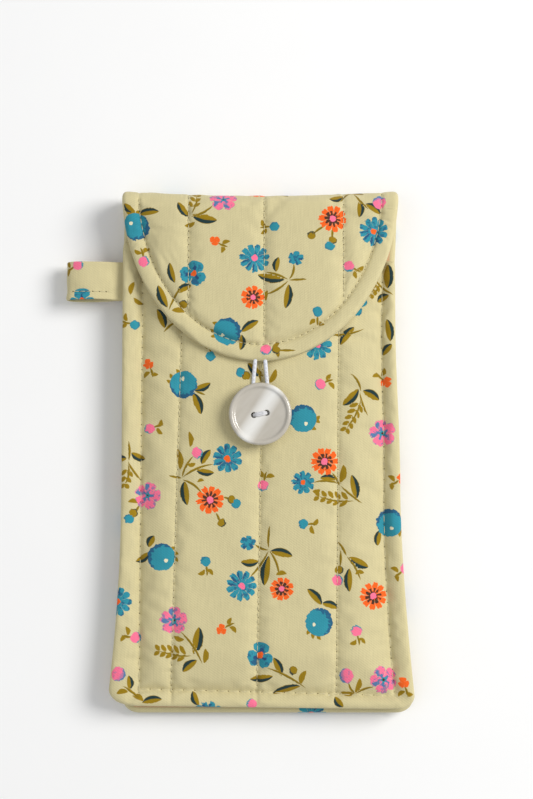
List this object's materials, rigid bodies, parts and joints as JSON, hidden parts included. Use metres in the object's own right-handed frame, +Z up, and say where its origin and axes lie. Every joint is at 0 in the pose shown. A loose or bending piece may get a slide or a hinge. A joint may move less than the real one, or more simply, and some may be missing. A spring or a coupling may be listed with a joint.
{
  "type": "soft pouch glasses case",
  "caption": "Soft quilted cotton glasses case: two padded panels stitched round three sides, a rounded flap that folds over the mouth, an elastic loop, a large button and a side tab.",
  "frame": {"origin": "centre of the back face, on the surface that the case lies on", "axes": "+X across to the right, +Y along the case towards the fold, +Z up out of the front, with the case on its back"},
  "size_m": [0.1225, 0.184, 0.0175],
  "materials": {
    "print_cotton": "printed cotton, matt, fine diagonal weave",
    "lining_cotton": "plain peach and cream cotton, matt",
    "wadding": "white cotton wadding",
    "thread": "cream sewing thread",
    "elastic": "white round braided elastic",
    "pearl_button": "satin pearl"
  },
  "bodies": {
    "pouch": {"back_outer": "print_cotton", "back_batting": "wadding", "back_lining": "lining_cotton", "back_quilting_left": "thread", "back_quilting_centre": "thread", "back_quilting_right": "thread", "front_outer": "print_cotton", "front_batting": "wadding", "front_lining": "lining_cotton", "front_quilting_left": "thread", "front_quilting_centre": "thread", "front_quilting_right": "thread", "side_seam_left": "thread", "side_seam_right": "thread", "bottom_seam": "thread", "thread_shank": "thread", "tab_root": "print_cotton"},
    "fold": {"fold_outer": "print_cotton", "fold_batting": "wadding", "fold_lining": "lining_cotton"},
    "flap": {"flap_outer": "print_cotton", "flap_batting": "wadding", "flap_lining": "lining_cotton", "flap_quilting_left": "thread", "flap_quilting_centre": "thread", "flap_quilting_right": "thread", "flap_topstitch": "thread", "elastic_tails": "elastic"},
    "loop": {"elastic_loop": "elastic"},
    "button": {"button": "pearl_button", "button_thread": "thread"},
    "tab": {"tab_loop": "print_cotton", "tab_topstitch": "thread"}
  },
  "joints": [
    {"name": "back_crease", "type": "hinge", "parent": "pouch", "child": "fold", "pos_m": [0, 0.0888, 0.0032], "axis": [-1, 0, 0], "range_deg": [0, 90]},
    {"name": "flap_crease", "type": "hinge", "parent": "fold", "child": "flap", "pos_m": [0, 0.0888, 0.0122], "axis": [-1, 0, 0], "range_deg": [0, 90]},
    {"name": "loop_stretch", "type": "slide", "parent": "flap", "child": "loop", "axis": [0, -1, 0], "range_m": [0, 0.012], "stiffness_N_per_m": 60, "deforming": ["elastic_loop"]},
    {"name": "button_tilt", "type": "hinge", "parent": "pouch", "child": "button", "pos_m": [0, 0.0123, 0.0139], "axis": [1, 0, 0], "range_deg": [-8, 8], "stiffness_Nm_per_rad": 0.002},
    {"name": "tab_fold", "type": "hinge", "parent": "pouch", "child": "tab", "pos_m": [-0.0505, 0.0604, 0.0062], "axis": [0, 1, 0], "range_deg": [-9, 75], "stiffness_Nm_per_rad": 0.002}
  ],
  "couplings": [
    {"joint": "flap_crease", "follows": "back_crease", "ratio": 1}
  ]
}
